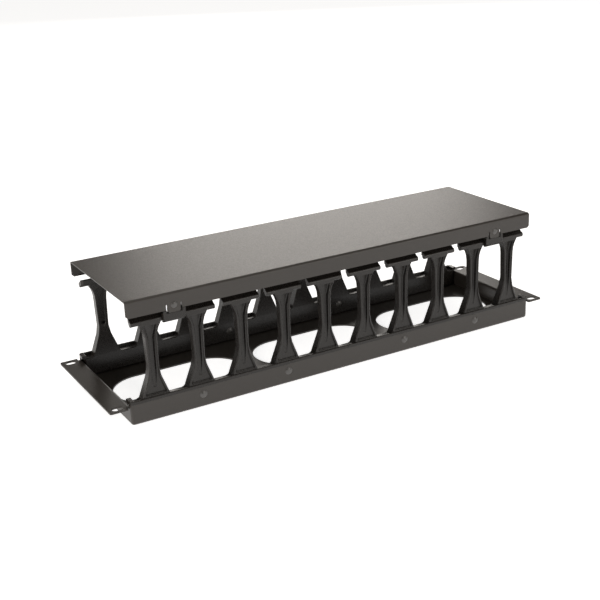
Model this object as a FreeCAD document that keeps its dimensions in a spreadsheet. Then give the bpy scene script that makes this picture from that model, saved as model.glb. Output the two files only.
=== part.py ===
import FreeCAD, Part
import Sketcher
import os
import math

# Horizontal cable manager, three rack units high, for a 19-inch rack.
# Frame: X along the rack width, Y front (-) to rear (+), Z up from the underside of the tray.

doc = FreeCAD.newDocument("cable_manager")
sheet = doc.addObject("Spreadsheet::Sheet", "dims")
V = FreeCAD.Vector

SIZES = [
    # folded steel tray
    ("tray_length", 444.6, "outside of one end wall to the other"),
    ("tray_width", 132.6, "three rack units less the usual gap"),
    ("tray_gauge", 1.5, "sheet of the tray"),
    ("tray_side_height", 19.3, "steel edge of the long walls"),
    ("ear_top", 17.5, "upper face of the rack ears"),
    ("ear_span", 482.6, "19-inch panel width"),
    ("ear_corner_r", 2.0, "free corners of the ears"),
    ("bend_r", 2.5, "outer bend radius"),
    ("corner_r", 3.0, "upright corners of the tray"),
    ("ear_bend_half", 62.0, "half length of the ear's bend line"),
    ("ear_relief", 0.8, "relief slit beside the ear's bend"),
    ("slot_span_x", 465.1, "rack slots, centre to centre across"),
    ("slot_span_y", 120.65, "rack slots, centre to centre up the rack"),
    ("slot_length", 10.0, "end to end"),
    ("slot_width", 6.8, "clears an M6 screw"),
    ("pass_pitch", 147.5, "cable pass-throughs, centre to centre"),
    ("pass_length", 130.0, "end to end"),
    ("pass_r", 32.0, "end radius"),
    # moulded finger combs
    ("pitch", 43.75, "finger to finger"),
    ("rail_in", 55.5, "inner face of the rail from the centre plane"),
    ("rail_top", 20.0, "ledge between the fingers"),
    ("rail_bottom", 2.4, "underside of the rail"),
    ("rail_skin", 2.2, "wall of the hollow rail"),
    ("rail_core", 11.0, "solid web under each finger"),
    ("rim_in", 63.8, "inner face of the upstanding rim"),
    ("rim_top", 22.5, "top of the rim"),
    ("rim_round", 0.6, "broken edge of the rim"),
    ("comb_out", 64.8, "outer face of the fingers"),
    ("seam", 0.2, "half the gap between two combs"),
    ("finger_depth", 7.0, "front to back at the waist"),
    ("lean_over", 3.5, "the inner face turns upright this far above the waist"),
    ("waist_half", 4.8, "half width at the waist"),
    ("waist_z", 48.0, "height of the waist"),
    ("throat_half", 5.5, "half width where the neck begins"),
    ("throat_z", 76.0, "height where the neck begins"),
    ("neck_half", 10.0, "half width under the head"),
    ("neck_z", 89.6, "height where the neck meets the head"),
    ("flare_low_half", 6.02, "half width a third of the way up the flare"),
    ("flare_low_z", 80.82, "height of that point"),
    ("flare_high_half", 7.54, "half width two thirds of the way up the flare"),
    ("flare_high_z", 85.42, "height of that point"),
    ("hip_half", 6.3, "half width where the foot starts to spread"),
    ("hip_z", 39.8, "height where the foot starts to spread"),
    ("foot_half", 12.4, "half width above the foot's fillet"),
    ("foot_z", 23.4, "height above the foot's fillet"),
    ("toe_half", 15.6, "half width of the toe at the ledge"),
    ("toe_step", 1.7, "long leg of each flat of the toe"),
    ("toe_rise", 0.45, "short leg of each flat of the toe"),
    ("flute_depth", 2.6, "groove on the outer face"),
    ("flute_back", 1.8, "groove on the inner face"),
    ("flute_half", 2.3, "half width of the groove at the waist"),
    ("flute_top_half", 4.9, "half width of the groove under the head"),
    ("flute_top", 86.0, "upper end of the groove"),
    ("flute_low", 50.0, "lower end of the deep groove"),
    ("panel_depth", 0.9, "shallow recess of the foot"),
    ("panel_low", 23.6, "lower edge of the recess"),
    ("panel_half", 9.6, "half width of the recess at its lower edge"),
    ("edge_r", 0.6, "broken outer edges of the finger"),
    ("head_half", 17.8, "half length of the head bar"),
    ("head_top", 97.5, "top of the head bar"),
    ("head_in", 56.5, "inner face of the head bar"),
    ("head_flat", 58.6, "where the sloping top begins"),
    ("head_under", 92.4, "underside behind the bead"),
    ("head_corner_r", 2.0, "cropped inner corners of the head bar"),
    ("bead_y", 62.2, "hinge line from the centre plane"),
    ("bead_z", 91.9, "height of the hinge line"),
    ("bead_r", 2.6, "round outer edge that the clips hook on"),
    ("rivet_z", 12.6, "height of the comb rivets"),
    ("rivet_shank_r", 2.0, "comb rivet"),
    ("rivet_hole_r", 2.1, "hole for the comb rivet"),
    ("rivet_head_r", 3.7, "comb rivet head"),
    ("rivet_head_h", 1.3, "comb rivet head height"),
    ("rivet_tail_h", 1.3, "set end that stands inside the rail"),
    # folded steel cover
    ("cover_length", 438.8, "end to end"),
    ("cover_half", 68.0, "outside of the flange from the centre plane"),
    ("cover_gauge", 1.2, "sheet of the cover"),
    ("cover_top", 114.8, "upper face"),
    ("flange_low", 99.5, "lower edge of the flanges"),
    ("flange_cut", 2.0, "cropped lower corners of the flanges"),
    ("clip_x", 175.0, "centre of each clip from the middle"),
    ("tongue_half", 6.0, "half width of the spring tongue"),
    ("tongue_low", 96.8, "lower end of the tongue"),
    ("slit_width", 1.5, "slit beside the tongue"),
    ("slit_top", 104.5, "upper end of the slit"),
    # moulded clips
    ("clip_half", 10.4, "half width of the jaw"),
    ("clip_play", 0.05, "radial play of the jaw on the bead"),
    ("clip_low", 88.5, "underside of the jaw"),
    ("jaw_crop", 0.7, "cropped lower corners of the jaw"),
    ("clip_stem_half", 5.4, "half width of the clip's stem"),
    ("clip_stem_in", 64.5, "inner face of the stem"),
    ("clip_stem_top", 108.5, "upper end of the stem"),
    ("clip_shoulder", 97.2, "shoulder of the jaw"),
    ("clip_rivet_z", 103.4, "height of the clip rivets"),
    ("clip_rivet_r", 1.6, "clip rivet shank"),
    ("clip_hole_r", 1.7, "hole for the clip rivet"),
    ("clip_rivet_head_r", 3.0, "clip rivet head"),
    ("clip_rivet_head_h", 1.0, "clip rivet head height"),
]

for row, (alias, size, note) in enumerate(SIZES, start=1):
    sheet.set("A%d" % row, alias)
    sheet.set("B%d" % row, str(size))
    sheet.set("C%d" % row, note)
    sheet.setAlias("B%d" % row, alias)
doc.recompute()


class Dim:
    """A size that carries both its value and the expression that gives it."""

    def __init__(self, value, text):
        self.value = float(value)
        self.text = text

    def join(self, other, sign, value):
        return Dim(value, "(%s %s %s)" % (self.text, sign, as_dim(other).text))

    def __add__(self, other):
        return self.join(other, "+", self.value + as_dim(other).value)

    def __sub__(self, other):
        return self.join(other, "-", self.value - as_dim(other).value)

    def __mul__(self, other):
        return self.join(other, "*", self.value * as_dim(other).value)

    def __truediv__(self, other):
        return self.join(other, "/", self.value / as_dim(other).value)

    def __neg__(self):
        return Dim(-self.value, "(0 - %s)" % self.text)


def as_dim(item):
    if isinstance(item, Dim):
        return item
    return Dim(item, repr(float(item)))


def d(alias):
    return Dim(sheet.get(alias), "dims." + alias)


def plane(body, role):
    for item in body.Origin.OriginFeatures:
        if item.Role == role:
            return item
    raise ValueError(role)


def new_body(label):
    body = doc.addObject("PartDesign::Body", label)
    body.Label = label
    return body


def new_sketch(body, name, role, offset=None):
    """A sketch on one of the body's origin planes, moved along the plane's normal by offset."""
    sk = body.newObject("Sketcher::SketchObject", name)
    sk.AttachmentSupport = [(plane(body, role), "")]
    sk.MapMode = "FlatFace"
    if offset is not None:
        sk.setExpression("AttachmentOffset.Base.z", as_dim(offset).text)
    return sk


def pin(sk, geo, pos, x, y):
    """Fixes a sketch point at x, y from the origin."""
    for axis, size, line in (("DistanceX", x, -2), ("DistanceY", y, -1)):
        size = as_dim(size)
        if abs(size.value) < 1e-9:
            sk.addConstraint(Sketcher.Constraint("PointOnObject", geo, pos, line))
            continue
        number = sk.addConstraint(Sketcher.Constraint(axis, -1, 1, geo, pos, size.value))
        sk.setExpression("Constraints[%d]" % number, size.text)


def closed(sk, nodes):
    """A closed outline. Each node is (x, y) or (x, y, radius): a radius bends the run to the next
    node into an arc, to the left for a positive radius and to the right for a negative one."""
    nodes = [(as_dim(n[0]), as_dim(n[1])) + ((as_dim(n[2]),) if len(n) > 2 else (None,)) for n in nodes]
    first = None
    last = None
    for i, (x, y, radius) in enumerate(nodes):
        nx, ny, unused = nodes[(i + 1) % len(nodes)]
        a = V(x.value, y.value, 0)
        b = V(nx.value, ny.value, 0)
        if radius is None:
            geo = sk.addGeometry(Part.LineSegment(a, b))
            start, end = 1, 2
        else:
            r = abs(radius.value)
            chord = b - a
            half = chord.Length / 2
            normal = V(-chord.y, chord.x, 0) / chord.Length
            side = 1 if radius.value > 0 else -1
            centre = (a + b) / 2 + normal * (side * math.sqrt(max(r * r - half * half, 0)))
            ring = Part.Circle(centre, V(0, 0, 1), r)
            ends = [math.atan2((p - centre).y, (p - centre).x) for p in (a, b)]
            start, end = (1, 2) if side > 0 else (2, 1)
            geo = sk.addGeometry(Part.ArcOfCircle(ring, ends[start - 1], ends[end - 1]))
            number = sk.addConstraint(Sketcher.Constraint("Radius", geo, r))
            sk.setExpression("Constraints[%d]" % number, radius.text if radius.value > 0 else (-radius).text)
        pin(sk, geo, start, x, y)
        if last is not None:
            sk.addConstraint(Sketcher.Constraint("Coincident", last[0], last[1], geo, start))
        if first is None:
            first = (geo, start)
        last = (geo, end)
    sk.addConstraint(Sketcher.Constraint("Coincident", last[0], last[1], first[0], first[1]))


def circle(sk, x, y, radius):
    radius = as_dim(radius)
    geo = sk.addGeometry(Part.Circle(V(as_dim(x).value, as_dim(y).value, 0), V(0, 0, 1), radius.value))
    number = sk.addConstraint(Sketcher.Constraint("Radius", geo, radius.value))
    sk.setExpression("Constraints[%d]" % number, radius.text)
    pin(sk, geo, 3, x, y)


def twelve_sided(sk, x, y, radius):
    """A small hole that a rivet fills and hides."""
    x, y, radius = as_dim(x), as_dim(y), as_dim(radius)
    nodes = []
    for i in range(12):
        turn = math.radians(30 * i)
        nodes.append((x + radius * round(math.cos(turn), 6), y + radius * round(math.sin(turn), 6)))
    closed(sk, nodes)


def obround(sk, x, y, length, radius):
    """A slot along the sketch's X axis; each end is two quarter arcs."""
    x, y, radius = as_dim(x), as_dim(y), as_dim(radius)
    straight = as_dim(length) / 2 - radius
    tip = as_dim(length) / 2
    closed(sk, [(x - straight, y - radius), (x + straight, y - radius, radius),
                (x + tip, y, radius), (x + straight, y + radius),
                (x - straight, y + radius, radius), (x - tip, y, radius)])


def feature(body, kind, name, sk, **settings):
    item = body.newObject("PartDesign::" + kind, name)
    item.Profile = sk
    for key, value in settings.items():
        if isinstance(value, Dim):
            item.setExpression(key, value.text)
        else:
            setattr(item, key, value)
    sk.Visibility = False
    doc.recompute()
    return item


def edges_where(shape, test):
    return ["Edge%d" % (i + 1) for i, e in enumerate(shape.Edges) if test(e)]


def rounded(body, name, base, test, radius):
    names = edges_where(base.Shape, test)
    item = body.newObject("PartDesign::Fillet", name)
    item.Base = (base, names)
    item.setExpression("Radius", as_dim(radius).text)
    doc.recompute()
    return item


def near(a, b, tol=0.02):
    return abs(a - b) < tol


# ---------------------------------------------------------------- tray

def make_tray():
    body = new_body("tray")
    hx = d("tray_length") / 2
    hy = d("tray_width") / 2
    r = d("corner_r")
    sk = new_sketch(body, "tray_outline", "XY_Plane")
    closed(sk, [(-hx + r, -hy), (hx - r, -hy, r), (hx, -hy + r), (hx, hy - r, r),
                (hx - r, hy), (-hx + r, hy, r), (-hx, hy - r), (-hx, -hy + r, r)])
    block = feature(body, "Pad", "tray_block", sk, Length=d("tray_side_height"))
    bent = rounded(body, "tray_bends", block, lambda e: near(e.BoundBox.ZMax, 0), d("bend_r"))
    shell = body.newObject("PartDesign::Thickness", "tray_shell")
    top = [i for i, f in enumerate(bent.Shape.Faces)
           if near(f.BoundBox.ZMin, d("tray_side_height").value)]
    shell.Base = (bent, ["Face%d" % (top[0] + 1)])
    shell.Reversed = True
    shell.Join = "Arc"
    shell.setExpression("Value", d("tray_gauge").text)
    doc.recompute()

    # the end walls stop lower, where the rack ears are bent outwards
    wide = d("ear_bend_half") + d("ear_relief")
    bend_low = d("ear_top") - d("bend_r")
    sk = new_sketch(body, "end_wall_cut", "XY_Plane", bend_low)
    for s in (-1, 1):
        closed(sk, [((hx - 4) * s, -wide), ((hx + 4) * s, -wide), ((hx + 4) * s, wide), ((hx - 4) * s, wide)])
    feature(body, "Pocket", "end_walls_low", sk, Length=d("tray_side_height"), Reversed=True)

    gauge = d("tray_gauge")
    bend = d("bend_r")
    inner = hx - gauge
    tip = d("ear_span") / 2
    sk = new_sketch(body, "ear_fold", "XZ_Plane")
    for s in (-1, 1):
        turn = bend * s
        closed(sk, [(hx * s, bend_low - 1), (hx * s, bend_low, (gauge - bend) * s),
                    ((inner + bend) * s, d("ear_top") - gauge), ((inner + bend + 1.2) * s, d("ear_top") - gauge),
                    ((inner + bend + 1.2) * s, d("ear_top")), ((inner + bend) * s, d("ear_top"), turn),
                    (inner * s, bend_low), (inner * s, bend_low - 1)])
    feature(body, "Pad", "ear_folds", sk, Length=d("ear_bend_half") * 2, Midplane=True)

    sk = new_sketch(body, "ear_outline", "XY_Plane", d("ear_top") - gauge)
    near_x = inner + bend + 1.2
    r = d("ear_corner_r")
    for s in (-1, 1):
        closed(sk, [(near_x * s, -hy), ((tip - r) * s, -hy, r * s), (tip * s, -hy + r), (tip * s, hy - r, r * s),
                    ((tip - r) * s, hy), (near_x * s, hy)])
    feature(body, "Pad", "ears", sk, Length=gauge)

    sk = new_sketch(body, "rack_slots", "XY_Plane", d("ear_top"))
    for s in (-1, 1):
        for t in (-1, 1):
            obround(sk, d("slot_span_x") / 2 * s, d("slot_span_y") / 2 * t, d("slot_length"), d("slot_width") / 2)
    feature(body, "Pocket", "rack_slots_cut", sk, Length=gauge * 2)

    sk = new_sketch(body, "pass_throughs", "XY_Plane", gauge)
    for i in (-1, 0, 1):
        obround(sk, d("pass_pitch") * i, 0, d("pass_length"), d("pass_r"))
    feature(body, "Pocket", "pass_throughs_cut", sk, Length=gauge * 2)

    sk = new_sketch(body, "rivet_holes", "XZ_Plane")
    for i in (-3.5, -1.5, 1.5, 3.5):
        twelve_sided(sk, d("pitch") * i, d("rivet_z"), d("rivet_hole_r"))
    feature(body, "Pocket", "rivet_holes_cut", sk, Length=hy * 2 + 10, Midplane=True)
    return body


# ---------------------------------------------------------------- finger combs

def finger_outline():
    """The right-hand half of a finger from the foot up, as (half width, height) nodes."""
    return [(d("toe_half"), d("rail_top") - 1.0), (d("toe_half"), d("rail_top")),
            (d("toe_half") - d("toe_step"), d("rail_top") + d("toe_rise")),
            (d("foot_half") + d("toe_rise"), d("foot_z") - d("toe_step")), (d("foot_half"), d("foot_z")),
            (d("hip_half"), d("hip_z")), (d("waist_half"), d("waist_z")), (d("throat_half"), d("throat_z")),
            (d("flare_low_half"), d("flare_low_z")), (d("flare_high_half"), d("flare_high_z")),
            (d("neck_half"), d("neck_z")), (d("neck_half"), d("bead_z"))]


def both_sides(right, middle):
    """Closes a right-hand run of nodes with its mirror image; middle is the finger's own X."""
    loop = []
    for x, y, *bend in right:
        loop.append((middle + x, y, *bend))
    left = []
    for i, (x, y, *bend) in enumerate(reversed(right)):
        before = right[len(right) - 2 - i] if i + 1 < len(right) else None
        turn = before[2:] if before is not None else ()
        left.append((middle - x, y, *turn))
    return loop + left


def make_comb(label, hand, turned):
    """Five fingers on a hollow rail. hand +1 runs to +X from the seam, -1 to -X."""
    body = new_body(label)
    out = d("comb_out")
    pitch = d("pitch")
    mid = pitch / 2 * hand
    face = d("comb_out")

    # one pitch of the rail, its ledge and its upstanding rim
    def rail(name, start, length):
        sk = new_sketch(body, name + "_section", "YZ_Plane", start)
        rr = d("rim_round")
        rim_out = d("tray_width") / 2
        closed(sk, [(-out, d("rail_bottom")), (-d("rail_in"), d("rail_bottom")),
                    (-d("rail_in"), d("rail_top") - rr), (-d("rail_in") - rr, d("rail_top")),
                    (-d("rim_in"), d("rail_top")), (-d("rim_in"), d("rim_top") - rr),
                    (-d("rim_in") - rr, d("rim_top")), (-rim_out + rr, d("rim_top")),
                    (-rim_out, d("rim_top") - rr), (-rim_out, d("tray_side_height")),
                    (-out, d("tray_side_height"))])
        return feature(body, "Pad", name, sk, Length=length, Reversed=hand < 0)

    first = rail("rail_pitch", 0, pitch)

    # hollow between the webs, open underneath
    core = d("rail_core") / 2
    skin = d("rail_skin")
    sk = new_sketch(body, "rail_hollow", "XY_Plane", d("rail_bottom"))
    low = -out + skin
    high = -d("rail_in") - skin
    if hand > 0:
        spans = [(as_dim(skin), mid - core), (mid + core, pitch)]
    else:
        spans = [(mid + core, -skin), (-pitch, mid - core)]
    for a, b in spans:
        closed(sk, [(a, low), (b, low), (b, high), (a, high)])
    feature(body, "Pocket", "rail_hollow_cut", sk, Length=d("rail_top") - skin - d("rail_bottom"), Reversed=True)

    # finger blank
    sk = new_sketch(body, "finger_outline", "XZ_Plane", face - (out - d("rail_in")))
    closed(sk, both_sides(finger_outline(), mid))
    blank = feature(body, "Pad", "finger_blank", sk, Length=out - d("rail_in"))

    # the inner face leans back from the rail to the waist
    sk = new_sketch(body, "lean_section", "YZ_Plane", mid)
    back = -out + d("finger_depth")
    closed(sk, [(-d("rail_in"), d("rail_top") + 0.4), (back, d("waist_z") + d("lean_over")), (back, d("head_top")),
                (-d("rail_in") + 3, d("head_top")), (-d("rail_in") + 3, d("rail_top") + 0.4)])
    lean = feature(body, "Pocket", "finger_lean", sk, Length=pitch, Midplane=True)

    # soft edges along both faces of the finger
    def long_edge(e):
        box = e.BoundBox
        outer = near(box.YMin, -out.value) and near(box.YMax, -out.value)
        return outer and box.ZMin > d("foot_z").value - 0.1 and box.ZLength > 1.5
    soft = body.newObject("PartDesign::Chamfer", "finger_edges")
    soft.Base = (lean, edges_where(lean.Shape, long_edge))
    soft.setExpression("Size", d("edge_r").text)
    doc.recompute()

    sk = new_sketch(body, "neck_core", "XZ_Plane", d("bead_y"))
    reach = d("neck_half")
    closed(sk, [(mid - reach, d("bead_z") - 1), (mid + reach, d("bead_z") - 1),
                (mid + reach, d("head_under") + 1), (mid - reach, d("head_under") + 1)])
    feature(body, "Pad", "neck_core_pad", sk, Length=d("finger_depth") - out + d("bead_y"), Reversed=True)

    # grooves: deep in the stem, shallow in the foot, and one on the inner face
    def flute(name, offset, depth, away):
        sk = new_sketch(body, name, "XZ_Plane", offset)
        half = d("flute_half")
        closed(sk, both_sides([(half * 0.35, d("flute_low") - 3), (half, d("flute_low") + 2),
                               (half + 0.5, d("throat_z")), (d("flute_top_half"), d("flute_top"))], mid))
        return feature(body, "Pocket", name + "_cut", sk, Length=depth, Reversed=away)
    flute("flute_outer", face, d("flute_depth"), False)
    back_face = face - d("finger_depth")
    flute("flute_inner", back_face, d("flute_back"), True)

    sk = new_sketch(body, "foot_panel", "XZ_Plane", face)
    closed(sk, both_sides([(d("panel_half"), d("panel_low")), (d("flute_half") + 1.2, d("hip_z")),
                           (d("flute_half") * 0.9, d("flute_low") + 1)], mid))
    feature(body, "Pocket", "foot_panel_cut", sk, Length=d("panel_depth"))

    # head bar with the round bead that the cover's clips hook on
    sk = new_sketch(body, "head_section", "YZ_Plane", mid)
    by = d("bead_y")
    bz = d("bead_z")
    br = d("bead_r")
    closed(sk, [(-d("head_in"), d("head_under")), (-d("head_in"), d("head_top")), (-d("head_flat"), d("head_top")),
                (-by, bz + br, br), (-by - br, bz, br), (-by, bz - br),
                (-by + br * 0.7, bz - br * 0.7), (-by + br, bz), (-by + br, d("head_under"))])
    feature(body, "Pad", "head_bar", sk, Length=d("head_half") * 2, Midplane=True)
    sk = new_sketch(body, "head_corners", "XY_Plane", d("head_top") + 1)
    reach = d("head_half")
    hr = d("head_corner_r")
    back_y = -d("head_in")
    for s in (-1, 1):
        closed(sk, [(mid + (reach - hr) * s, back_y + 1), (mid + (reach + 1) * s, back_y + 1),
                    (mid + (reach + 1) * s, back_y - hr), (mid + reach * s, back_y - hr),
                    (mid + (reach - hr) * s, back_y)])
    head = feature(body, "Pocket", "head_corners_cut", sk, Length=d("head_top") - bz + br + 2)

    row = body.newObject("PartDesign::LinearPattern", "finger_row")
    row.TransformMode = "Whole shape"
    row.Direction = (plane(body, "X_Axis"), [""])
    row.Reversed = hand < 0
    row.Mode = "Extent"
    row.setExpression("Length", (pitch * 4).text)
    row.Occurrences = 5
    body.Tip = row
    doc.recompute()

    # plain end of the rail, up to the tray's end wall, with the rim turned round the corner
    run = pitch * 5
    inside = d("tray_length") / 2 - d("tray_gauge") - 1.6
    rail("rail_end", run * hand, inside - run)
    sk = new_sketch(body, "end_rim_outline", "XY_Plane", d("tray_side_height"))
    hx = d("tray_length") / 2
    hy = d("tray_width") / 2
    r = d("corner_r")
    closed(sk, [((inside - 1.2) * hand, -hy), ((hx - r) * hand, -hy, r * hand), (hx * hand, -hy + r),
                (hx * hand, -d("rail_in")), ((inside - 1.2) * hand, -d("rail_in"))])
    feature(body, "Pad", "end_rim", sk, Length=d("rim_top") - d("tray_side_height"))

    sk = new_sketch(body, "seam_trim", "YZ_Plane", 0)
    closed(sk, [(-70, 0), (-50, 0), (-50, 30), (-70, 30)])
    feature(body, "Pocket", "seam_trim_cut", sk, Length=d("seam") * 2, Midplane=True)

    sk = new_sketch(body, "rivet_bores", "XZ_Plane", face - 20)
    for i in (1.5, 3.5):
        twelve_sided(sk, pitch * (i * hand), d("rivet_z"), d("rivet_hole_r"))
    feature(body, "Pocket", "rivet_bores_cut", sk, Length=30, Reversed=True)

    if turned:
        body.Placement = FreeCAD.Placement(V(0, 0, 0), FreeCAD.Rotation(V(0, 0, 1), 180))
    return body


# ---------------------------------------------------------------- rivets

def rivet_solid(length, shank_r, head_r, head_h, tail_h):
    """A twelve-sided rivet along +Z: head below the origin, shank through length, set end above."""
    steps = [(-head_h, head_r * 0.62), (0, head_r), (0, shank_r), (length + tail_h, shank_r)]
    rings = []
    for z, r in steps:
        turns = [math.radians(30 * i) for i in range(12)]
        rings.append([V(r * math.cos(t), r * math.sin(t), z) for t in turns])
    faces = []
    for low, high in zip(rings, rings[1:]):
        for i in range(12):
            j = (i + 1) % 12
            faces.append(Part.Face(Part.makePolygon([low[i], low[j], high[j], high[i], low[i]])))
    for ring in (rings[0], rings[-1]):
        faces.append(Part.Face(Part.makePolygon(ring + [ring[0]])))
    solid = Part.Solid(Part.makeShell(faces))
    if solid.Volume < 0:
        solid.reverse()
    return solid.removeSplitter()


def rivet_group(label, places, sizes):
    """Equal rivets at places, each given as (x, y, z, direction along Y of the shank)."""
    solids = []
    for x, y, z, way in places:
        rivet = rivet_solid(*sizes)
        turn = FreeCAD.Rotation(V(0, 0, 1), V(0, way, 0))
        rivet.Placement = FreeCAD.Placement(V(x, y, z), turn)
        solids.append(rivet)
    item = doc.addObject("Part::Feature", label)
    item.Label = label
    item.Shape = Part.makeCompound(solids)
    return item


def make_comb_rivets():
    value = lambda name: d(name).value
    hy = value("tray_width") / 2
    places = []
    for i in (-3.5, -1.5, 1.5, 3.5):
        for s in (-1, 1):
            places.append((value("pitch") * i, hy * s, value("rivet_z"), -s))
    grip = hy - value("rail_in")
    head_r = value("rivet_head_r")
    head_h = value("rivet_head_h")
    return rivet_group("comb_rivets", places,
                       (grip, value("rivet_shank_r"), head_r, head_h, value("rivet_tail_h")))


def make_clip_rivets():
    value = lambda name: d(name).value
    places = []
    for x in (-value("clip_x"), value("clip_x")):
        for s in (-1, 1):
            places.append((x, value("cover_half") * s, value("clip_rivet_z"), -s))
    grip = value("cover_half") - value("clip_stem_in")
    return rivet_group("clip_rivets", places,
                       (grip, value("clip_rivet_r"), value("clip_rivet_head_r"),
                        value("clip_rivet_head_h"), 0))


# ---------------------------------------------------------------- cover

def make_cover():
    body = new_body("cover")
    hy = d("cover_half")
    t = d("cover_gauge")
    r = d("bend_r")
    top = d("cover_top")
    low = d("flange_low")
    sk = new_sketch(body, "cover_section", "YZ_Plane")
    closed(sk, [(-hy, low), (-hy + t, low), (-hy + t, top - r, t - r), (-hy + r, top - t),
                (hy - r, top - t, t - r), (hy - t, top - r), (hy - t, low), (hy, low), (hy, top - r, r),
                (hy - r, top), (-hy + r, top, r), (-hy, top - r)])
    sheet_pad = feature(body, "Pad", "cover_sheet", sk, Length=d("cover_length"), Midplane=True)

    half = d("cover_length") / 2
    cut = body.newObject("PartDesign::Chamfer", "flange_corners")
    cut.Base = (sheet_pad, edges_where(sheet_pad.Shape, lambda e: near(abs(e.CenterOfMass.x), half.value)
                                       and near(e.CenterOfMass.z, low.value)))
    cut.setExpression("Size", d("flange_cut").text)
    doc.recompute()

    # spring tongues that carry the clips, freed by a slit on each side
    tongue = d("tongue_half")
    slit = d("slit_width")
    sk = new_sketch(body, "tongue_slits", "XZ_Plane")
    for c in (-1, 1):
        for s in (-1, 1):
            x0 = d("clip_x") * c + tongue * s
            x1 = x0 + slit * s
            top_z = d("slit_top") - slit / 3
            closed(sk, [(x0, low - 2), (x1, low - 2), (x1, top_z), (x0 + slit * (2 / 3) * s, d("slit_top")),
                        (x0 + slit / 3 * s, d("slit_top")), (x0, top_z)])
    feature(body, "Pocket", "tongue_slits_cut", sk, Length=hy * 2 + 10, Midplane=True)
    for s in (-1, 1):
        name = "front" if s < 0 else "rear"
        sk = new_sketch(body, "tongues_" + name, "XZ_Plane", hy if s < 0 else -hy + t)
        for c in (-1, 1):
            x = d("clip_x") * c
            soft = 1.2
            closed(sk, [(x - tongue, low + 0.5), (x - tongue, d("tongue_low") + soft),
                        (x - tongue + soft, d("tongue_low")), (x + tongue - soft, d("tongue_low")),
                        (x + tongue, d("tongue_low") + soft), (x + tongue, low + 0.5)])
        feature(body, "Pad", "tongues_%s_pad" % name, sk, Length=t, Reversed=True)
    sk = new_sketch(body, "clip_rivet_holes", "XZ_Plane")
    for c in (-1, 1):
        twelve_sided(sk, d("clip_x") * c, d("clip_rivet_z"), d("clip_hole_r"))
    feature(body, "Pocket", "clip_rivet_holes_cut", sk, Length=hy * 2 + 10, Midplane=True)
    return body


# ---------------------------------------------------------------- clips

def make_clip(label, x, side):
    """Moulded snap clip: a jaw round the head bar's bead, on a stem riveted behind the tongue."""
    body = new_body(label)
    by = d("bead_y")
    bz = d("bead_z")
    r = d("bead_r") + d("clip_play")
    lip = math.radians(65)
    crest = math.radians(85)
    hy = d("cover_half")
    skin = d("cover_gauge")
    wall = 1.35
    sk = new_sketch(body, "jaw_section", "YZ_Plane")
    y0, z0 = -by - r * math.cos(lip), bz - r * math.sin(lip)
    y1, z1 = -by - r * math.cos(crest), bz + r * math.sin(crest)
    tip_y, tip_z = -by - (r + wall) * math.cos(lip), bz - (r + wall) * math.sin(lip)
    crown_y, crown_z = -by - (r + wall) * math.cos(crest), bz + (r + wall) * math.sin(crest)
    closed(sk, [(y1, z1, r), (-by - r, bz, r), (y0, z0), (tip_y, tip_z), (-hy + 2.2, d("clip_low") - 0.1),
                (-hy, d("clip_low") + 2.2), (-hy, d("tongue_low") - 0.2), (-hy + skin, d("tongue_low") - 0.2),
                (-hy + skin, d("clip_shoulder")), (-d("clip_stem_in"), d("clip_shoulder")),
                (crown_y, crown_z)])
    jaw = feature(body, "Pad", "jaw", sk, Length=d("clip_half") * 2, Midplane=True)

    # stem behind the tongue, rounded at its upper end
    sk = new_sketch(body, "stem_outline", "XZ_Plane", d("clip_stem_in"))
    half = d("clip_stem_half")
    top = d("clip_stem_top")
    closed(sk, [(-half, d("clip_shoulder") - 1), (half, d("clip_shoulder") - 1), (half, top - 1.6),
                (half - 1.6, top), (-half + 1.6, top), (-half, top - 1.6)])
    feature(body, "Pad", "stem", sk, Length=hy - skin - d("clip_stem_in"))

    # cheeks that fill the flange line on both sides of the tongue
    sk = new_sketch(body, "cheek_outline", "XZ_Plane", hy - skin)
    inner = d("tongue_half") + d("slit_width")
    for s in (-1, 1):
        closed(sk, [(inner * s, d("tongue_low") - 1), (d("clip_half") * s, d("tongue_low") - 1),
                    (d("clip_half") * s, d("flange_low") - 0.3), (inner * s, d("flange_low") - 0.3)])
    cheeks = feature(body, "Pad", "cheeks", sk, Length=skin)
    crop = body.newObject("PartDesign::Chamfer", "jaw_corners")
    crop.Base = (cheeks, edges_where(cheeks.Shape, lambda e: near(abs(e.CenterOfMass.x), d("clip_half").value)
                                     and e.CenterOfMass.z < 91
                                     and e.CenterOfMass.y < -d("cover_half").value + 1.5))
    crop.setExpression("Size", d("jaw_crop").text)
    doc.recompute()
    sk = new_sketch(body, "clip_bore", "XZ_Plane", d("clip_stem_in") - 5)
    twelve_sided(sk, 0, d("clip_rivet_z"), d("clip_hole_r"))
    feature(body, "Pocket", "clip_bore_cut", sk, Length=15, Reversed=True)
    turn = 0 if side < 0 else 180
    body.Placement = FreeCAD.Placement(V(x, 0, 0), FreeCAD.Rotation(V(0, 0, 1), turn))
    return body


parts = [make_tray()]
parts.append(make_comb("comb_front_left", -1, False))
parts.append(make_comb("comb_front_right", 1, False))
parts.append(make_comb("comb_rear_left", 1, True))
parts.append(make_comb("comb_rear_right", -1, True))
parts.append(make_comb_rivets())
parts.append(make_cover())
for name, x, side in (("clip_front_left", -1, -1), ("clip_front_right", 1, -1),
                      ("clip_rear_left", -1, 1), ("clip_rear_right", 1, 1)):
    parts.append(make_clip(name, d("clip_x").value * x, side))
parts.append(make_clip_rivets())
doc.recompute()

for item in doc.Objects:
    if "Invalid" in item.State or "Error" in item.State:
        raise RuntimeError("%s: %s" % (item.Label, item.State))

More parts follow.
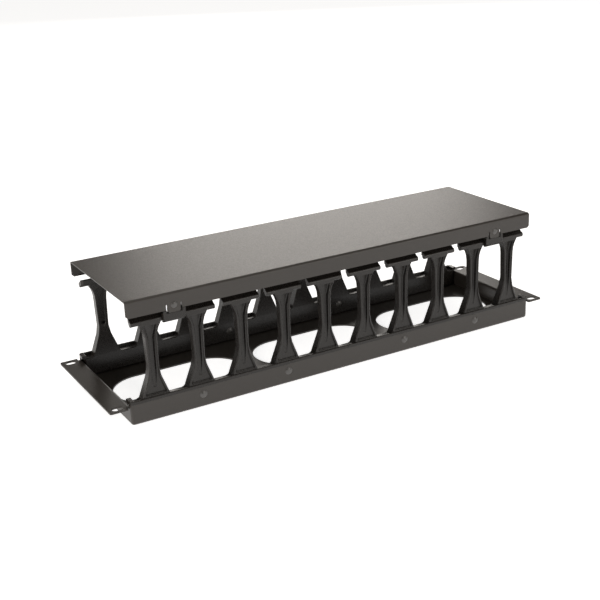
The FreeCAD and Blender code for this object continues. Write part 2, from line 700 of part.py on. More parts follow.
os.makedirs("parts", exist_ok=True)
for item in parts:
    shape = item.Shape
    if shape.isNull() or not shape.isValid():
        raise RuntimeError("bad shape: " + item.Label)
    box = shape.BoundBox
    print("%-18s solids %d faces %4d vol %9.0f  x %.1f..%.1f y %.1f..%.1f z %.1f..%.1f" % (
        item.Label, len(shape.Solids), len(shape.Faces), shape.Volume,
        box.XMin, box.XMax, box.YMin, box.YMax, box.ZMin, box.ZMax))
    shape.exportStep("parts/%s.step" % item.Label)
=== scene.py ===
import math

import bpy
from mathutils import Matrix, Vector


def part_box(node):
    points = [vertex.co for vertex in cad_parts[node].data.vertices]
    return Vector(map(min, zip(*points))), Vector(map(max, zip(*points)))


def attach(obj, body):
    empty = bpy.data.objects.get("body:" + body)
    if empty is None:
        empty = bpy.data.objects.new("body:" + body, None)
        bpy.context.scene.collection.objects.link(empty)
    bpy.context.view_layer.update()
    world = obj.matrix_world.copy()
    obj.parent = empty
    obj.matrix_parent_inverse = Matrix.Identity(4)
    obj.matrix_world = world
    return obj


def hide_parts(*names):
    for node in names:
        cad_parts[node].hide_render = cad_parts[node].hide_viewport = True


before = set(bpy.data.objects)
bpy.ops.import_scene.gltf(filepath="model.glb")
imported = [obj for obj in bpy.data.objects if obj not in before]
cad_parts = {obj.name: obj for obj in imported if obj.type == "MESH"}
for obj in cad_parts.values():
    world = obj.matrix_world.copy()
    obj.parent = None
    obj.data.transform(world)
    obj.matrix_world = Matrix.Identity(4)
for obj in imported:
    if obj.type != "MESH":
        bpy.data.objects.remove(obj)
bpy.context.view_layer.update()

bl_info = {
    "name": "Horizontal cable manager",
    "version": (1, 0, 0),
    "blender": (4, 5, 0),
    "location": "3D View > Sidebar > Cable manager",
    "description": "Finishes, domed rivets and stage for a three-unit rack cable manager",
    "category": "Object",
}

COMB_NODES = [
    "comb_front_left",
    "comb_front_right",
    "comb_rear_left",
    "comb_rear_right",
]
CLIP_NODES = [
    "clip_front_left",
    "clip_front_right",
    "clip_rear_left",
    "clip_rear_right",
]

# Hollows in a finger's outer face, from the foot up: height, half width and depth.
PANEL = [
    (0.0244, 0.0102, 0.0020),
    (0.0310, 0.0074, 0.0024),
    (0.0398, 0.0046, 0.0020),
    (0.0500, 0.0037, 0.0012),
    (0.0760, 0.0042, 0.0012),
    (0.0815, 0.0050, 0.0012),
    (0.0862, 0.0066, 0.0012),
    (0.0884, 0.0080, 0.0010),
]
FLUTE = [
    (0.0300, 0.0012, 0.0028),
    (0.0380, 0.0020, 0.0032),
    (0.0440, 0.00235, 0.0038),
    (0.0500, 0.00240, 0.0041),
    (0.0760, 0.00295, 0.0041),
    (0.0863, 0.0051, 0.0036),
    (0.0882, 0.0056, 0.0024),
]
WAIST_STATION = 3
TOOL_OUTSIDE = 0.004  # how far a cutter stands out in front of the finger
MERGE_DISTANCE = 0.00001
SAME_PLACE = 0.000001

# Comb rivets stand this many finger pitches from the middle.
RIVET_STEPS = (-3.5, -1.5, 1.5, 3.5)
DOME_STEPS = 7
RIVET_SMOOTH_ANGLE = math.radians(35.0)
COMB_SMOOTH_ANGLE = math.radians(32.0)

# Cells of the slow colour changes, in metres.
COAT_CLOUD = 0.09
PLASTIC_FLOW = 0.03
RIVET_MOTTLE = 0.0016
FLOOR_CLOUD = 0.5
NOISE_MIDDLE = (0.3, 0.7)  # most of a noise lies between these values

# Soft boxes of the stage: name, place, size across and up, power in watts.
SOFT_BOXES = [
    ("left_soft_box", (-1.9, 0.0, 0.45), (1.0, 0.7), 20.0),
    ("rear_soft_box", (1.5, 2.6, 1.03), (1.35, 1.1), 17.5),
    ("top_soft_box", (0.1, -0.2, 2.3), (1.8, 1.8), 14.0),
    ("front_soft_box", (-0.9, -1.9, 1.6), (1.0, 0.8), 3.0),
    ("low_soft_box", (1.05, -1.9, 0.72), (1.4, 0.9), 13.0),
]
LIGHT_AIM = (0.0, 0.0, 0.06)
WARM_LIGHT = (1.0, 0.955, 0.90)
WARM_SURROUND = (1.0, 0.94, 0.87, 1.0)
FLOOR_DROP = 0.0004
SENSOR_WIDTH = 36.0


# ------------------------------------------------------------------ settings


class CableManagerFinishes(bpy.types.PropertyGroup):
    """Colours and surface textures of the cable manager."""

    coat_colour: bpy.props.FloatVectorProperty(
        name="Powder coat",
        description="Colour of the coated steel tray and cover",
        subtype="COLOR",
        size=3,
        min=0.0,
        max=1.0,
        default=(0.027, 0.0225, 0.0185),
    )
    coat_grain: bpy.props.FloatProperty(
        name="Coat grain",
        description="Size of the orange-peel cells of the powder coat",
        subtype="DISTANCE",
        unit="LENGTH",
        min=0.0002,
        max=0.01,
        default=0.0011,
    )
    coat_roughness: bpy.props.FloatProperty(
        name="Coat roughness",
        description="Middle of the powder coat's roughness",
        subtype="FACTOR",
        min=0.05,
        max=1.0,
        default=0.40,
    )
    plastic_colour: bpy.props.FloatVectorProperty(
        name="Moulded plastic",
        description="Colour of the finger combs and the clips",
        subtype="COLOR",
        size=3,
        min=0.0,
        max=1.0,
        default=(0.0125, 0.0104, 0.0088),
    )
    plastic_grain: bpy.props.FloatProperty(
        name="Mould grain",
        description="Size of the fine texture that the mould leaves on the plastic",
        subtype="DISTANCE",
        unit="LENGTH",
        min=0.0001,
        max=0.01,
        default=0.0006,
    )
    plastic_roughness: bpy.props.FloatProperty(
        name="Plastic roughness",
        description="Middle of the plastic's roughness",
        subtype="FACTOR",
        min=0.05,
        max=1.0,
        default=0.27,
    )
    rivet_colour: bpy.props.FloatVectorProperty(
        name="Rivets",
        description="Colour of the blackened rivets",
        subtype="COLOR",
        size=3,
        min=0.0,
        max=1.0,
        default=(0.050, 0.047, 0.044),
    )
    plastic_softness: bpy.props.FloatProperty(
        name="Moulded edge softness",
        description="Radius that light sees along the edges of the mouldings",
        subtype="DISTANCE",
        unit="LENGTH",
        min=0.0,
        max=0.002,
        default=0.0009,
    )
    edge_softness: bpy.props.FloatProperty(
        name="Edge softness",
        description="Radius that light sees along the sharp edges",
        subtype="DISTANCE",
        unit="LENGTH",
        min=0.0,
        max=0.002,
        default=0.00045,
    )


class CableManagerFingers(bpy.types.PropertyGroup):
    """Sizes of the hollow that lightens each finger."""

    face_setback: bpy.props.FloatProperty(
        name="Face setback",
        description="How far the fingers' outer faces stand behind the rail's rim",
        subtype="DISTANCE",
        unit="LENGTH",
        min=0.0,
        max=0.01,
        default=0.0015,
    )
    panel_radius: bpy.props.FloatProperty(
        name="Panel corner",
        description="Radius between the bottom and the sides of the wide panel at the waist",
        subtype="DISTANCE",
        unit="LENGTH",
        min=0.0001,
        max=0.003,
        default=0.0011,
    )
    flute_radius: bpy.props.FloatProperty(
        name="Flute corner",
        description="Radius between the bottom and the sides of the deep flute at the waist",
        subtype="DISTANCE",
        unit="LENGTH",
        min=0.0001,
        max=0.003,
        default=0.0009,
    )
    corner_steps: bpy.props.IntProperty(
        name="Hollow corner steps",
        description="Faces round each corner of the hollow",
        min=1,
        max=16,
        default=7,
    )
    fingers: bpy.props.IntProperty(
        name="Fingers",
        description="Fingers on each comb",
        min=1,
        max=20,
        default=5,
    )


class CableManagerRivets(bpy.types.PropertyGroup):
    """Sizes of the domed rivets."""

    comb_head_radius: bpy.props.FloatProperty(
        name="Comb rivet head",
        description="Radius of the rivet heads that hold the finger combs",
        subtype="DISTANCE",
        unit="LENGTH",
        min=0.001,
        max=0.01,
        default=0.0037,
    )
    comb_head_height: bpy.props.FloatProperty(
        name="Comb rivet dome",
        description="Height of the dome of a comb rivet",
        subtype="DISTANCE",
        unit="LENGTH",
        min=0.0002,
        max=0.005,
        default=0.0013,
    )
    comb_shank_radius: bpy.props.FloatProperty(
        name="Comb rivet shank",
        description="Radius of a comb rivet's shank",
        subtype="DISTANCE",
        unit="LENGTH",
        min=0.0005,
        max=0.005,
        default=0.0019,
    )
    clip_head_radius: bpy.props.FloatProperty(
        name="Clip rivet head",
        description="Radius of the rivet heads that hold the clips",
        subtype="DISTANCE",
        unit="LENGTH",
        min=0.001,
        max=0.01,
        default=0.0030,
    )
    clip_head_height: bpy.props.FloatProperty(
        name="Clip rivet dome",
        description="Height of the dome of a clip rivet",
        subtype="DISTANCE",
        unit="LENGTH",
        min=0.0002,
        max=0.005,
        default=0.0010,
    )
    clip_shank_radius: bpy.props.FloatProperty(
        name="Clip rivet shank",
        description="Radius of a clip rivet's shank",
        subtype="DISTANCE",
        unit="LENGTH",
        min=0.0005,
        max=0.005,
        default=0.0015,
    )
    clip_grip: bpy.props.FloatProperty(
        name="Clip rivet grip",
        description="Thickness of tongue and stem that a clip rivet holds together",
        subtype="DISTANCE",
        unit="LENGTH",
        min=0.001,
        max=0.01,
        default=0.0035,
    )
    sides: bpy.props.IntProperty(
        name="Sides",
        description="Faces round a rivet",
        min=12,
        max=96,
        default=40,
    )


class CableManagerStage(bpy.types.PropertyGroup):
    """Floor, light and camera."""

    floor_size: bpy.props.FloatProperty(
        name="Floor",
        description="Side of the square floor",
        subtype="DISTANCE",
        unit="LENGTH",
        min=1.0,
        max=40.0,
        default=14.0,
    )
    floor_colour: bpy.props.FloatVectorProperty(
        name="Floor colour",
        description="Colour of the pale floor",
        subtype="COLOR",
        size=3,
        min=0.0,
        max=1.0,
        default=(0.90, 0.90, 0.90),
    )
    floor_glow: bpy.props.FloatProperty(
        name="Floor glow",
        description="Light that the translucent table gives off by itself",
        min=0.0,
        max=2.0,
        default=0.80,
    )
    sky_strength: bpy.props.FloatProperty(
        name="Surround",
        description="Strength of the even light that reaches the object from all round",
        min=0.0,
        max=5.0,
        default=0.14,
    )
    camera_place: bpy.props.FloatVectorProperty(
        name="Camera",
        description="Where the camera stands",
        subtype="TRANSLATION",
        unit="LENGTH",
        size=3,
        default=(-0.5137, -0.8906, 0.4313),
    )
    camera_azimuth: bpy.props.FloatProperty(
        name="Azimuth",
        description="How far the camera is turned from the long side's normal",
        subtype="ANGLE",
        default=math.radians(29.33),
    )
    camera_elevation: bpy.props.FloatProperty(
        name="Elevation",
        description="How far the camera looks down",
        subtype="ANGLE",
        default=math.radians(20.41),
    )
    camera_roll: bpy.props.FloatProperty(
        name="Roll",
        description="Tilt of the camera round its own line of sight",
        subtype="ANGLE",
        default=math.radians(-2.39),
    )
    camera_lens: bpy.props.FloatProperty(
        name="Lens",
        description="Focal length in millimetres on a 36 mm sensor",
        min=20.0,
        max=200.0,
        default=66.16,
    )


# ------------------------------------------------------------------ materials


def new_material(name):
    """An empty node material with its output and principled shader joined."""
    material = bpy.data.materials.new(name)
    material.use_nodes = True
    tree = material.node_tree
    tree.nodes.clear()
    output = tree.nodes.new("ShaderNodeOutputMaterial")
    shader = tree.nodes.new("ShaderNodeBsdfPrincipled")
    tree.links.new(shader.outputs["BSDF"], output.inputs["Surface"])
    return material, tree, shader


def grain(tree, cell, detail):
    """Noise in the object's own space whose cells are about this long, in metres."""
    place = tree.nodes.new("ShaderNodeTexCoord")
    noise = tree.nodes.new("ShaderNodeTexNoise")
    noise.inputs["Scale"].default_value = 1.0 / cell
    noise.inputs["Detail"].default_value = detail
    tree.links.new(place.outputs["Object"], noise.inputs["Vector"])
    return noise.outputs["Fac"]


def spread(tree, value, low, high):
    """Maps the middle of a noise to the range from low to high."""
    node = tree.nodes.new("ShaderNodeMapRange")
    node.inputs["From Min"].default_value = NOISE_MIDDLE[0]
    node.inputs["From Max"].default_value = NOISE_MIDDLE[1]
    node.inputs["To Min"].default_value = low
    node.inputs["To Max"].default_value = high
    tree.links.new(value, node.inputs["Value"])
    return node.outputs["Result"]


def shaded_colour(tree, shader, colour, value, depth):
    """Drives the base colour between a darker and a lighter tone of one colour."""
    node = tree.nodes.new("ShaderNodeMix")
    node.data_type = "RGBA"
    colours = [socket for socket in node.inputs if socket.type == "RGBA"]
    dark = [c * (1.0 - depth) for c in colour]
    light = [min(c * (1.0 + depth), 1.0) for c in colour]
    colours[0].default_value = (*dark, 1.0)
    colours[1].default_value = (*light, 1.0)
    tree.links.new(value, node.inputs["Factor"])
    result = [socket for socket in node.outputs if socket.type == "RGBA"][0]
    tree.links.new(result, shader.inputs["Base Color"])


def relief(tree, shader, layers, softness):
    """Bump layers, each (height, strength, depth), over edges rounded by softness."""
    soft = tree.nodes.new("ShaderNodeBevel")
    soft.samples = 6
    soft.inputs["Radius"].default_value = softness
    normal = soft.outputs["Normal"]
    for height, strength, depth in layers:
        bump = tree.nodes.new("ShaderNodeBump")
        bump.inputs["Strength"].default_value = strength
        bump.inputs["Distance"].default_value = depth
        tree.links.new(height, bump.inputs["Height"])
        tree.links.new(normal, bump.inputs["Normal"])
        normal = bump.outputs["Normal"]
    tree.links.new(normal, shader.inputs["Normal"])


def powder_coat():
    """Dark satin powder coat: orange peel, a finer grit and slow cloudiness."""
    finish = bpy.context.scene.cable_manager_finishes
    material, tree, shader = new_material("powder_coat")
    cloud = grain(tree, COAT_CLOUD, 3.0)
    peel = grain(tree, finish.coat_grain, 2.0)
    grit = grain(tree, finish.coat_grain * 0.28, 4.0)
    shaded_colour(tree, shader, finish.coat_colour, cloud, 0.10)
    rough = spread(tree, peel, finish.coat_roughness - 0.05, finish.coat_roughness + 0.06)
    tree.links.new(rough, shader.inputs["Roughness"])
    relief(tree, shader, [(peel, 0.16, 0.00012), (grit, 0.10, 0.00005)], finish.edge_softness)
    shader.inputs["Specular IOR Level"].default_value = 0.5
    return material


def moulded_plastic():
    """Black engineering plastic with the fine texture of a spark-eroded mould."""
    finish = bpy.context.scene.cable_manager_finishes
    material, tree, shader = new_material("moulded_plastic")
    flow = grain(tree, PLASTIC_FLOW, 2.0)
    texture = grain(tree, finish.plastic_grain, 3.0)
    waves = grain(tree, finish.plastic_grain * 9.0, 1.0)
    shaded_colour(tree, shader, finish.plastic_colour, flow, 0.14)
    rough = spread(tree, texture, finish.plastic_roughness - 0.04, finish.plastic_roughness + 0.07)
    tree.links.new(rough, shader.inputs["Roughness"])
    relief(tree, shader, [(waves, 0.10, 0.0003), (texture, 0.12, 0.00006)], finish.plastic_softness)
    shader.inputs["Specular IOR Level"].default_value = 0.38
    return material


def blackened_metal():
    """Blackened rivet: metal under a thin mottled dark finish."""
    finish = bpy.context.scene.cable_manager_finishes
    material, tree, shader = new_material("blackened_rivet")
    mottle = grain(tree, RIVET_MOTTLE, 3.0)
    shaded_colour(tree, shader, finish.rivet_colour, mottle, 0.20)
    rough = spread(tree, mottle, 0.26, 0.40)
    tree.links.new(rough, shader.inputs["Roughness"])
    relief(tree, shader, [(mottle, 0.08, 0.00005)], finish.edge_softness * 0.4)
    shader.inputs["Metallic"].default_value = 0.0
    shader.inputs["Specular IOR Level"].default_value = 0.7
    return material


def finish_nodes(names, material):
    """Gives the material to every slot of the named nodes."""
    for name in names:
        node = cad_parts[name]
        if not node.data.materials:
            node.data.materials.append(material)
        for i in range(len(node.data.materials)):
            node.data.materials[i] = material


# ------------------------------------------------------------------ modelling


def start_clean():
    if bpy.context.mode != "OBJECT":
        bpy.ops.object.mode_set(mode="OBJECT")
    bpy.ops.object.select_all(action="DESELECT")


def make_active(piece):
    """Leaves the piece alone selected and active, in object mode."""
    start_clean()
    piece.select_set(True)
    bpy.context.view_layer.objects.active = piece


def edit_chosen(piece, kind, chosen):
    """Enters edit mode with only the chosen faces or edges selected, given by number."""
    bpy.ops.object.mode_set(mode="EDIT")
    bpy.ops.mesh.select_mode(type=kind)
    bpy.ops.mesh.select_all(action="DESELECT")
    bpy.ops.object.mode_set(mode="OBJECT")
    elements = piece.data.polygons if kind == "FACE" else piece.data.edges
    for number in chosen:
        elements[number].select = True
    bpy.ops.object.mode_set(mode="EDIT")


def select_end(piece, axis, far):
    """In edit mode, selects the face that closes the piece at one end of an axis."""
    faces = piece.data.polygons
    ends = [(face.center[axis], face.index) for face in faces if len(face.vertices) > 4]
    number = (max if far else min)(ends)[1]
    edit_chosen(piece, "FACE", [number])


def select_long_edges(piece, depth):
    """In edit mode, selects the upright edges that stand at this depth along Y."""
    corners = piece.data.vertices
    chosen = []
    for edge in piece.data.edges:
        one, other = (corners[i].co for i in edge.vertices)
        upright = abs(one.x - other.x) < SAME_PLACE and abs(one.y - other.y) < SAME_PLACE
        if upright and abs(one.y - depth) < SAME_PLACE:
            chosen.append(edge.index)
    edit_chosen(piece, "EDGE", chosen)


def draw_on(tool, stations):
    """Draws the tool's end out through the stations, from the first to the last."""
    far = stations[-1][0] > stations[0][0]
    select_end(tool, 2, far)
    for old, new in zip(stations, stations[1:]):
        rise = new[0] - old[0]
        bpy.ops.mesh.extrude_region_move(TRANSFORM_OT_translate={"value": (0.0, 0.0, rise)})
        across = new[1] / old[1]
        along = (new[2] + TOOL_OUTSIDE) / (old[2] + TOOL_OUTSIDE)
        centre = (0.0, -TOOL_OUTSIDE, new[0])
        bpy.ops.transform.resize(value=(across, along, 1.0), center_override=centre)
    bpy.ops.object.mode_set(mode="OBJECT")


def model_hollow_tool(stations, radius):
    """Cutter for one finger's hollow: the finger's face is at Y = 0 and its depth runs to +Y."""
    sizes = bpy.context.scene.cable_manager_fingers
    low, half, depth = stations[WAIST_STATION]
    high = stations[WAIST_STATION + 1][0]
    start_clean()
    bpy.ops.mesh.primitive_cube_add(
        size=1.0,
        location=(0.0, (depth - TOOL_OUTSIDE) / 2.0, (low + high) / 2.0),
        scale=(half * 2.0, depth + TOOL_OUTSIDE, high - low),
    )
    tool = bpy.context.active_object
    tool.name = "hollow_tool"
    bpy.ops.object.transform_apply(location=True, rotation=True, scale=True)
    select_long_edges(tool, depth)
    bpy.ops.mesh.bevel(offset=radius, segments=sizes.corner_steps, affect="EDGES")
    bpy.ops.object.mode_set(mode="OBJECT")
    start = (high, half, depth)
    draw_on(tool, [start] + stations[WAIST_STATION + 2 :])
    draw_on(tool, stations[WAIST_STATION::-1])
    return tool


def merged_copy(node_name, name):
    """A new object with the node's mesh, its loose triangles joined into closed skins."""
    piece = bpy.data.objects.new(name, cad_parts[node_name].data.copy())
    piece.data.name = name
    bpy.context.collection.objects.link(piece)
    make_active(piece)
    bpy.ops.mesh.customdata_custom_splitnormals_clear()
    bpy.ops.object.mode_set(mode="EDIT")
    bpy.ops.mesh.select_all(action="SELECT")
    bpy.ops.mesh.remove_doubles(threshold=MERGE_DISTANCE)
    bpy.ops.object.mode_set(mode="OBJECT")
    piece.data.materials.clear()
    return piece


def cut_with(piece, tool):
    """Takes the tool's shape out of the piece and deletes the tool."""
    cut = piece.modifiers.new("hollow", "BOOLEAN")
    cut.operation = "DIFFERENCE"
    cut.solver = "EXACT"
    cut.object = tool
    make_active(piece)
    bpy.ops.object.modifier_apply(modifier=cut.name)
    bpy.data.objects.remove(tool, do_unlink=True)
    bpy.ops.object.shade_smooth_by_angle(angle=COMB_SMOOTH_ANGLE)


def grow_dome(rivet, far, y, shank, head, height):
    """Draws a ring out of the shank's end and closes it in a shallow dome."""
    way = 1.0 if far else -1.0
    select_end(rivet, 1, far)
    widen = head / shank
    bpy.ops.mesh.extrude_region_move(TRANSFORM_OT_translate={"value": (0.0, 0.0, 0.0)})
    bpy.ops.transform.resize(value=(widen, 1.0, widen), center_override=(0.0, y, 0.0))
    sphere = (head * head + height * height) / (2.0 * height)
    reach = math.asin(min(head / sphere, 1.0))
    radius, level = head, 0.0
    for i in range(1, DOME_STEPS):
        angle = reach * (1.0 - i / DOME_STEPS)
        new_radius = sphere * math.sin(angle)
        new_level = sphere * math.cos(angle) - (sphere - height)
        rise = (new_level - level) * way
        bpy.ops.mesh.extrude_region_move(TRANSFORM_OT_translate={"value": (0.0, rise, 0.0)})
        shrink = new_radius / radius
        centre = (0.0, y + new_level * way, 0.0)
        bpy.ops.transform.resize(value=(shrink, 1.0, shrink), center_override=centre)
        radius, level = new_radius, new_level
    bpy.ops.mesh.poke()
    bpy.ops.mesh.select_all(action="DESELECT")
    bpy.ops.object.mode_set(mode="OBJECT")
    last = max if far else min
    tip = last(rivet.data.vertices, key=lambda vertex: vertex.co.y)
    tip.co.y = y + height * way


def model_rivet(name, grip, shank, head, height, tail):
    """One rivet along Y: its head stands at Y = 0 and its shank runs to +Y."""
    start_clean()
    sides = bpy.context.scene.cable_manager_rivets.sides
    bpy.ops.mesh.primitive_cylinder_add(
        vertices=sides,
        radius=shank,
        depth=grip,
        location=(0.0, grip / 2.0, 0.0),
        rotation=(math.radians(90.0), 0.0, 0.0),
    )
    rivet = bpy.context.active_object
    rivet.name = name
    bpy.ops.object.transform_apply(location=True, rotation=True, scale=True)
    grow_dome(rivet, False, 0.0, shank, head, height)
    if tail:
        grow_dome(rivet, True, grip, shank, head, height)
    make_active(rivet)
    bpy.ops.object.shade_smooth_by_angle(angle=RIVET_SMOOTH_ANGLE)
    return rivet


def place_copies(model, name, places):
    """Copies the model to each place, given as (x, y, z, +1 or -1 along Y), as one piece."""
    copies = []
    for x, y, z, way in places:
        copy = model.copy()
        copy.data = model.data.copy()
        bpy.context.collection.objects.link(copy)
        turn = Matrix.Rotation(0.0 if way > 0 else math.pi, 4, "Z")
        copy.data.transform(Matrix.Translation((x, y, z)) @ turn)
        copies.append(copy)
    bpy.data.objects.remove(model, do_unlink=True)
    start_clean()
    for copy in copies:
        copy.select_set(True)
    bpy.context.view_layer.objects.active = copies[0]
    bpy.ops.object.join()
    piece = bpy.context.active_object
    piece.name = name
    piece.data.name = name
    return piece


def finger_pitch():
    """Pitch of the fingers, worked out from the outermost comb rivets."""
    head = bpy.context.scene.cable_manager_rivets.comb_head_radius
    return (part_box("comb_rivets")[1][0] - head) / RIVET_STEPS[-1]


# ------------------------------------------------------------------ operators


class CABLEMANAGER_OT_coat_steel(bpy.types.Operator):
    """Powder coat the folded tray and the folded cover"""

    bl_idname = "cable_manager.coat_steel"
    bl_label = "Coat the steel"

    def execute(self, context):
        finish_nodes(["tray", "cover"], powder_coat())
        return {"FINISHED"}


class CABLEMANAGER_OT_finish_plastic(bpy.types.Operator):
    """Give the finger combs and the clips their moulded finish"""

    bl_idname = "cable_manager.finish_plastic"
    bl_label = "Finish the plastic"

    def execute(self, context):
        finish_nodes(COMB_NODES + CLIP_NODES, moulded_plastic())
        return {"FINISHED"}


class CABLEMANAGER_OT_finger_combs(bpy.types.Operator):
    """Model the combs with a rounded hollow down the whole face of each finger"""

    bl_idname = "cable_manager.finger_combs"
    bl_label = "Finger combs"

    def execute(self, context):
        sizes = context.scene.cable_manager_fingers
        pitch = finger_pitch()
        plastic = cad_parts[COMB_NODES[0]].data.materials[0]
        for node_name in COMB_NODES:
            low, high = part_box(node_name)
            hand = 1 if low[0] + high[0] > 0.0 else -1
            front = low[1] < 0.0
            face = (low[1] + sizes.face_setback) if front else (high[1] - sizes.face_setback)
            way = 1 if front else -1
            places = []
            for i in range(sizes.fingers):
                places.append((pitch * (i + 0.5) * hand, face, 0.0, way))
            piece = merged_copy(node_name, node_name + "_moulded")
            for stations, radius in ((PANEL, sizes.panel_radius), (FLUTE, sizes.flute_radius)):
                tool = place_copies(model_hollow_tool(stations, radius), "hollow_tools", places)
                cut_with(piece, tool)
            piece.data.materials.append(plastic)
            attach(piece, "base")
            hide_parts(node_name)
        return {"FINISHED"}


class CABLEMANAGER_OT_comb_rivets(bpy.types.Operator):
    """Model the domed rivets that hold the combs to the tray's long walls"""

    bl_idname = "cable_manager.comb_rivets"
    bl_label = "Comb rivets"

    def execute(self, context):
        sizes = context.scene.cable_manager_rivets
        low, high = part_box("comb_rivets")
        head, height = sizes.comb_head_radius, sizes.comb_head_height
        wall = high[1] - height
        level = (low[2] + high[2]) / 2.0
        pitch = finger_pitch()
        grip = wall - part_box("comb_rear_left")[0][1]
        model = model_rivet("rivet_model", grip, sizes.comb_shank_radius, head, height, True)
        places = []
        for step in RIVET_STEPS:
            places.append((step * pitch, -wall, level, 1))
            places.append((step * pitch, wall, level, -1))
        piece = place_copies(model, "comb_rivets_domed", places)
        piece.data.materials.append(blackened_metal())
        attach(piece, "base")
        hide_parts("comb_rivets")
        return {"FINISHED"}


class CABLEMANAGER_OT_clip_rivets(bpy.types.Operator):
    """Model the domed rivets that hold the clips to the cover's spring tongues"""

    bl_idname = "cable_manager.clip_rivets"
    bl_label = "Clip rivets"

    def execute(self, context):
        sizes = context.scene.cable_manager_rivets
        low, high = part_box("clip_rivets")
        head, height = sizes.clip_head_radius, sizes.clip_head_height
        flange = high[1] - height
        level = (low[2] + high[2]) / 2.0
        across = high[0] - head
        shank, grip = sizes.clip_shank_radius, sizes.clip_grip
        model = model_rivet("rivet_model", grip, shank, head, height, False)
        places = []
        for side in (-1, 1):
            places.append((side * across, -flange, level, 1))
            places.append((side * across, flange, level, -1))
        piece = place_copies(model, "clip_rivets_domed", places)
        piece.data.materials.append(blackened_metal())
        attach(piece, "lid")
        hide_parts("clip_rivets")
        return {"FINISHED"}


def soft_light(name, place, aim, size, power, tint):
    """A rectangular soft box that looks at a point."""
    lamp = bpy.data.lights.new(name, "AREA")
    lamp.shape = "RECTANGLE"
    lamp.size, lamp.size_y = size
    lamp.energy = power
    lamp.color = tint
    holder = bpy.data.objects.new(name, lamp)
    bpy.context.collection.objects.link(holder)
    holder.location = place
    look = Vector(aim) - Vector(place)
    holder.rotation_euler = look.to_track_quat("-Z", "Y").to_euler()
    return holder


def floor_material(colour, glow):
    """A pale, slightly cloudy table top that is lit from underneath."""
    material, tree, shader = new_material("pale_floor")
    shader.inputs["Emission Color"].default_value = (1.0, 1.0, 1.0, 1.0)
    shader.inputs["Emission Strength"].default_value = glow
    cloud = grain(tree, FLOOR_CLOUD, 2.0)
    shaded_colour(tree, shader, colour, cloud, 0.01)
    shader.inputs["Roughness"].default_value = 0.7
    return material


def white_surround(tree, strength):
    """A white backdrop, with a dimmer even light for everything but the view itself."""
    dim = tree.nodes["Background"]
    dim.inputs["Color"].default_value = WARM_SURROUND
    dim.inputs["Strength"].default_value = strength
    white = tree.nodes.new("ShaderNodeBackground")
    white.inputs["Color"].default_value = (1.0, 1.0, 1.0, 1.0)
    paths = tree.nodes.new("ShaderNodeLightPath")
    choice = tree.nodes.new("ShaderNodeMixShader")
    tree.links.new(paths.outputs["Is Camera Ray"], choice.inputs["Fac"])
    tree.links.new(dim.outputs["Background"], choice.inputs[1])
    tree.links.new(white.outputs["Background"], choice.inputs[2])
    tree.links.new(choice.outputs["Shader"], tree.nodes["World Output"].inputs["Surface"])


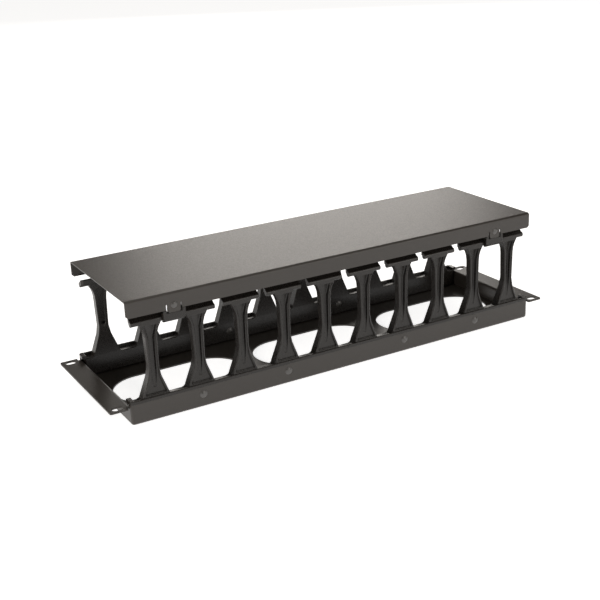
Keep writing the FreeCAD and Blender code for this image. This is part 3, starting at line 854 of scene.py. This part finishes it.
class CABLEMANAGER_OT_stage(bpy.types.Operator):
    """Lay the pale floor, hang the soft boxes and stand the camera"""

    bl_idname = "cable_manager.stage"
    bl_label = "Stage"

    def execute(self, context):
        stage = context.scene.cable_manager_stage
        start_clean()
        bpy.ops.mesh.primitive_plane_add(size=stage.floor_size, location=(0.0, 0.0, -FLOOR_DROP))
        floor = context.active_object
        floor.name = "pale_floor"
        floor.data.materials.append(floor_material(stage.floor_colour, stage.floor_glow))

        world = bpy.data.worlds.new("white_surround")
        context.scene.world = world
        world.use_nodes = True
        white_surround(world.node_tree, stage.sky_strength)

        for name, place, size, power in SOFT_BOXES:
            soft_light(name, place, LIGHT_AIM, size, power, WARM_LIGHT)

        lens = bpy.data.cameras.new("camera")
        lens.lens = stage.camera_lens
        lens.sensor_width = SENSOR_WIDTH
        lens.clip_start = 0.02
        lens.clip_end = 60.0
        camera = bpy.data.objects.new("camera", lens)
        context.collection.objects.link(camera)
        turn, tip, roll = stage.camera_azimuth, stage.camera_elevation, stage.camera_roll
        ahead = Vector((math.sin(turn) * math.cos(tip), math.cos(turn) * math.cos(tip), -math.sin(tip)))
        right = Vector((math.cos(turn), -math.sin(turn), 0.0))
        up = right.cross(ahead)
        rolled_right = right * math.cos(roll) + up * math.sin(roll)
        rolled_up = up * math.cos(roll) - right * math.sin(roll)
        frame_axes = Matrix((rolled_right, rolled_up, -ahead)).transposed()
        camera.matrix_world = Matrix.Translation(stage.camera_place) @ frame_axes.to_4x4()
        context.scene.camera = camera
        context.scene.view_settings.view_transform = "Standard"
        return {"FINISHED"}


class CABLEMANAGER_PT_panel(bpy.types.Panel):
    """Lists the steps that finish the cable manager"""

    bl_idname = "CABLEMANAGER_PT_panel"
    bl_label = "Cable manager"
    bl_space_type = "VIEW_3D"
    bl_region_type = "UI"
    bl_category = "Cable manager"

    def draw(self, context):
        column = self.layout.column()
        for step in STEPS:
            column.operator(step.bl_idname)
        groups = (
            context.scene.cable_manager_finishes,
            context.scene.cable_manager_fingers,
            context.scene.cable_manager_rivets,
            context.scene.cable_manager_stage,
        )
        for group in groups:
            box = self.layout.box()
            for name in group.__annotations__:
                box.prop(group, name)


STEPS = [
    CABLEMANAGER_OT_coat_steel,
    CABLEMANAGER_OT_finish_plastic,
    CABLEMANAGER_OT_finger_combs,
    CABLEMANAGER_OT_comb_rivets,
    CABLEMANAGER_OT_clip_rivets,
    CABLEMANAGER_OT_stage,
]
GROUPS = [
    ("cable_manager_finishes", CableManagerFinishes),
    ("cable_manager_fingers", CableManagerFingers),
    ("cable_manager_rivets", CableManagerRivets),
    ("cable_manager_stage", CableManagerStage),
]


def register():
    for name, group in GROUPS:
        bpy.utils.register_class(group)
        setattr(bpy.types.Scene, name, bpy.props.PointerProperty(type=group))
    for step in STEPS:
        bpy.utils.register_class(step)
    bpy.utils.register_class(CABLEMANAGER_PT_panel)


def unregister():
    bpy.utils.unregister_class(CABLEMANAGER_PT_panel)
    for step in reversed(STEPS):
        bpy.utils.unregister_class(step)
    for name, group in reversed(GROUPS):
        delattr(bpy.types.Scene, name)
        bpy.utils.unregister_class(group)


def main():
    register()
    bpy.ops.cable_manager.coat_steel()
    bpy.ops.cable_manager.finish_plastic()
    bpy.ops.cable_manager.finger_combs()
    bpy.ops.cable_manager.comb_rivets()
    bpy.ops.cable_manager.clip_rivets()
    bpy.ops.cable_manager.stage()


if __name__ == "__main__":
    main()
